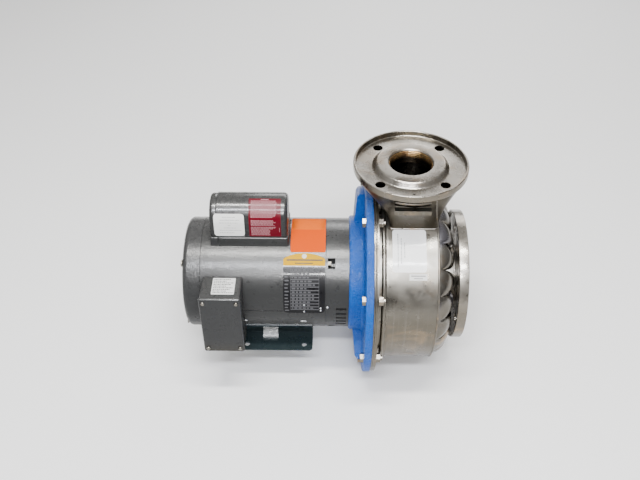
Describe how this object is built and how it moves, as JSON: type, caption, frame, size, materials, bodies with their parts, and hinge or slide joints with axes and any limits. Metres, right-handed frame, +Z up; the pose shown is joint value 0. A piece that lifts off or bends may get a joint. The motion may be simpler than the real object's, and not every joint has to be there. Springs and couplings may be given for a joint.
{
  "type": "centrifugal water pump",
  "caption": "Close-coupled end-suction centrifugal pump: stainless drum casing with flanged suction and discharge, blue adapter and a foot-mounted grey capacitor motor.",
  "frame": {"origin": "centre of the four foot holes on the underside of the feet", "axes": "+X along the shaft from the motor towards the suction flange, +Y to the rear, +Z up through the discharge"},
  "size_m": [0.539, 0.393, 0.4662],
  "materials": {
    "motor_paint": "gloss grey enamel",
    "bell_paint": "gloss grey enamel",
    "base_paint": "dark gloss enamel",
    "adapter_paint": "gloss blue over rough casting",
    "stainless": "pickled stainless sheet",
    "stainless_bright": "machined stainless",
    "zinc_steel": "zinc plated",
    "steel": "machined steel",
    "lamination": "stacked lamination",
    "cast_aluminium": "cast",
    "bearing_steel": "ground",
    "brass_cage": "pressed",
    "copper_enamel": "varnished copper wire",
    "black_plastic": "moulded",
    "switch_board": "phenolic board",
    "black_rubber": "matte",
    "capacitor_case": "moulded case",
    "capacitor_can": "drawn can",
    "seal_ceramic": "lapped ceramic",
    "bronze": "turned bronze",
    "plate_yellow_black": "printed metal plate",
    "label_red": "printed foil",
    "label_white": "printed foil",
    "label_orange": "printed foil",
    "label_silver": "printed foil"
  },
  "bodies": {
    "housing": {"motor_base": "base_paint", "motor_frame": "motor_paint", "fan_end_bracket": "bell_paint", "drive_end_bracket": "motor_paint", "tie_bolts": "zinc_steel", "stator_core": "lamination", "windings": "copper_enamel", "drive_bearing_outer": "bearing_steel", "rear_bearing_outer": "bearing_steel", "start_switch": "switch_board", "capacitor_cover": "motor_paint", "capacitor_end_cap": "bell_paint", "capacitor_screws": "zinc_steel", "start_capacitor": "capacitor_case", "run_capacitor": "capacitor_can", "terminal_box": "motor_paint", "terminal_cover": "bell_paint", "terminal_screws": "zinc_steel", "knockout_plug": "motor_paint", "nameplate": "plate_yellow_black", "nameplate_rivets": "capacitor_can", "caution_label": "label_red", "wiring_label": "label_white", "rotation_sticker": "label_orange", "box_label": "label_white", "adapter": "adapter_paint", "adapter_screws": "steel", "back_cover": "stainless", "seal_seat": "seal_ceramic", "wear_ring": "bronze", "diffuser": "stainless", "casing_drum": "stainless", "casing_rim": "stainless", "casing_o_ring": "black_rubber", "casing_bolts": "stainless_bright", "casing_nuts": "stainless_bright", "suction_cover": "stainless", "suction_nozzle": "stainless_bright", "suction_flange": "stainless_bright", "discharge_neck": "stainless", "discharge_flange": "stainless_bright", "neck_bracket": "stainless", "drain_plug": "zinc_steel", "casing_label": "label_silver", "casing_tag": "label_white"},
    "rotor": {"motor_shaft": "steel", "shaft_key": "steel", "rotor_core": "cast_aluminium", "drive_bearing_inner": "bearing_steel", "rear_bearing_inner": "bearing_steel", "cooling_fan": "black_plastic", "governor_hub": "zinc_steel", "slinger": "black_rubber", "impeller": "stainless_bright", "impeller_nut": "stainless_bright", "seal_rotary": "black_rubber", "seal_spring": "stainless_bright"},
    "drive_ball_cage": {"drive_bearing_balls": "brass_cage"},
    "rear_ball_cage": {"rear_bearing_balls": "brass_cage"},
    "governor": {"governor_collar": "black_plastic"}
  },
  "joints": [
    {"name": "shaft_spin", "type": "hinge", "parent": "housing", "child": "rotor", "pos_m": [0, 0, 0.1143], "axis": [1, 0, 0], "continuous": true},
    {"name": "drive_cage_spin", "type": "hinge", "parent": "housing", "child": "drive_ball_cage", "pos_m": [0, 0, 0.1143], "axis": [1, 0, 0], "continuous": true},
    {"name": "rear_cage_spin", "type": "hinge", "parent": "housing", "child": "rear_ball_cage", "pos_m": [0, 0, 0.1143], "axis": [1, 0, 0], "continuous": true},
    {"name": "governor_slide", "type": "slide", "parent": "rotor", "child": "governor", "axis": [1, 0, 0], "range_m": [0, 0.004], "stiffness_N_per_m": 400, "springref_m": -0.002}
  ],
  "couplings": [
    {"joint": "drive_cage_spin", "follows": "shaft_spin", "ratio": 0.3957},
    {"joint": "rear_cage_spin", "follows": "shaft_spin", "ratio": 0.3807}
  ]
}
